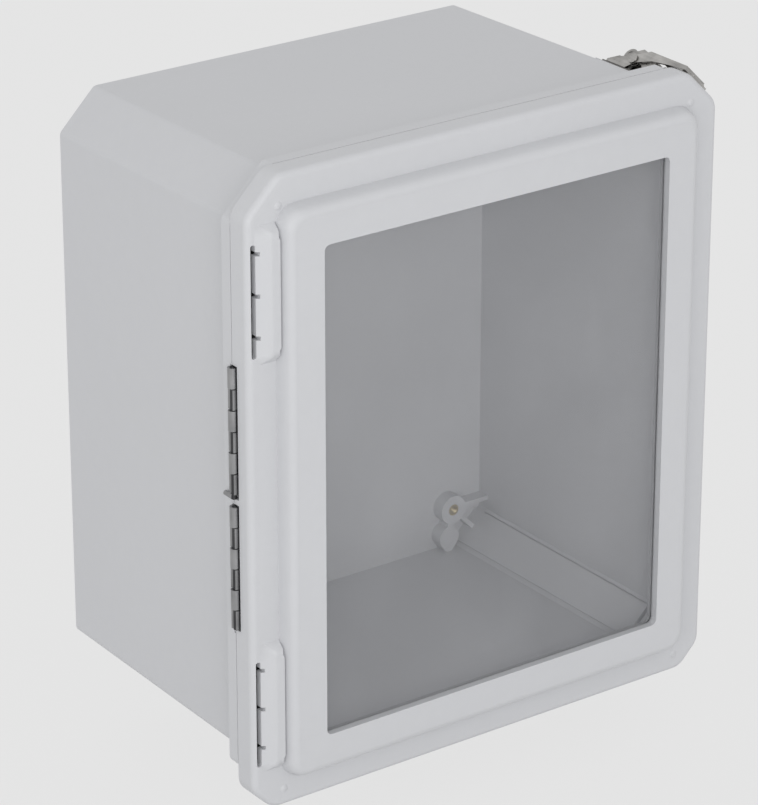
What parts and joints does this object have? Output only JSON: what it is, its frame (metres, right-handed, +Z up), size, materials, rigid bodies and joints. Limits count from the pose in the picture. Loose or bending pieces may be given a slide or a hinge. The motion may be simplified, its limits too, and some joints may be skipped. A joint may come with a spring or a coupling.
{
  "type": "fiberglass wall enclosure",
  "caption": "Moulded fiberglass wall enclosure with a hinged door, a clear window and padlockable draw latches at its corners.",
  "frame": {"origin": "centre of the flat back face, which lies on the wall", "axes": "+X right as seen from the front, +Y back into the wall, +Z up; the door faces -Y"},
  "size_m": [0.2816, 0.182, 0.3254],
  "materials": {
    "fiberglass": "light grey moulded fiberglass, satin",
    "retainer_plastic": "light grey moulded plastic, satin",
    "latch_steel": "bare stainless sheet, fine brushed",
    "hinge_steel": "bare stainless sheet, rolled",
    "pin_steel": "dark drawn steel wire",
    "brass": "turned, dull",
    "seal": "soft foamed seal, matte",
    "pane": "clear sheet, slightly grey"
  },
  "bodies": {
    "enclosure": {"enclosure_body": "fiberglass", "panel_inserts": "brass", "wall_inserts": "brass", "hinge_body_leaf_upper": "hinge_steel", "hinge_body_leaf_lower": "hinge_steel", "hinge_body_rivets": "hinge_steel", "hinge_pin_upper": "pin_steel", "hinge_pin_lower": "pin_steel", "latch_base_upper": "latch_steel", "latch_base_lower": "latch_steel", "latch_base_rivets": "latch_steel", "lever_pivots_upper": "latch_steel", "lever_pivots_lower": "latch_steel"},
    "door": {"door_frame": "fiberglass", "window_gasket": "seal", "window_pane": "pane", "window_retainer": "retainer_plastic", "retainer_screws": "latch_steel", "door_gasket": "seal", "hinge_door_leaf_upper": "hinge_steel", "hinge_door_leaf_lower": "hinge_steel", "hinge_door_screws": "hinge_steel", "keeper_upper": "latch_steel", "keeper_lower": "latch_steel", "keeper_rivets": "latch_steel"},
    "lever_upper": {"latch_lever_upper": "latch_steel", "bail_pin_upper": "latch_steel"},
    "bail_upper": {"latch_bail_upper": "latch_steel"},
    "lever_lower": {"latch_lever_lower": "latch_steel", "bail_pin_lower": "latch_steel"},
    "bail_lower": {"latch_bail_lower": "latch_steel"}
  },
  "joints": [
    {"name": "door_hinge", "type": "hinge", "parent": "enclosure", "child": "door", "pos_m": [-0.13913, -0.1612, 0], "axis": [0, 0, -1], "range_deg": [0, 135]},
    {"name": "lever_upper_swing", "type": "hinge", "parent": "enclosure", "child": "lever_upper", "pos_m": [0.12802, -0.1385, 0.15202], "axis": [0.7071, 0, -0.7071], "range_deg": [0, 110]},
    {"name": "bail_upper_swing", "type": "hinge", "parent": "lever_upper", "child": "bail_upper", "pos_m": [0.12661, -0.1295, 0.15061], "axis": [0.7071, 0, -0.7071], "range_deg": [-132, 0]},
    {"name": "lever_lower_swing", "type": "hinge", "parent": "enclosure", "child": "lever_lower", "pos_m": [0.12802, -0.1385, -0.15202], "axis": [-0.7071, 0, -0.7071], "range_deg": [0, 110]},
    {"name": "bail_lower_swing", "type": "hinge", "parent": "lever_lower", "child": "bail_lower", "pos_m": [0.12661, -0.1295, -0.15061], "axis": [-0.7071, 0, -0.7071], "range_deg": [-132, 0]}
  ],
  "couplings": [
    {"joint": "bail_upper_swing", "follows": "lever_upper_swing", "ratio": -1.2},
    {"joint": "bail_lower_swing", "follows": "lever_lower_swing", "ratio": -1.2}
  ]
}
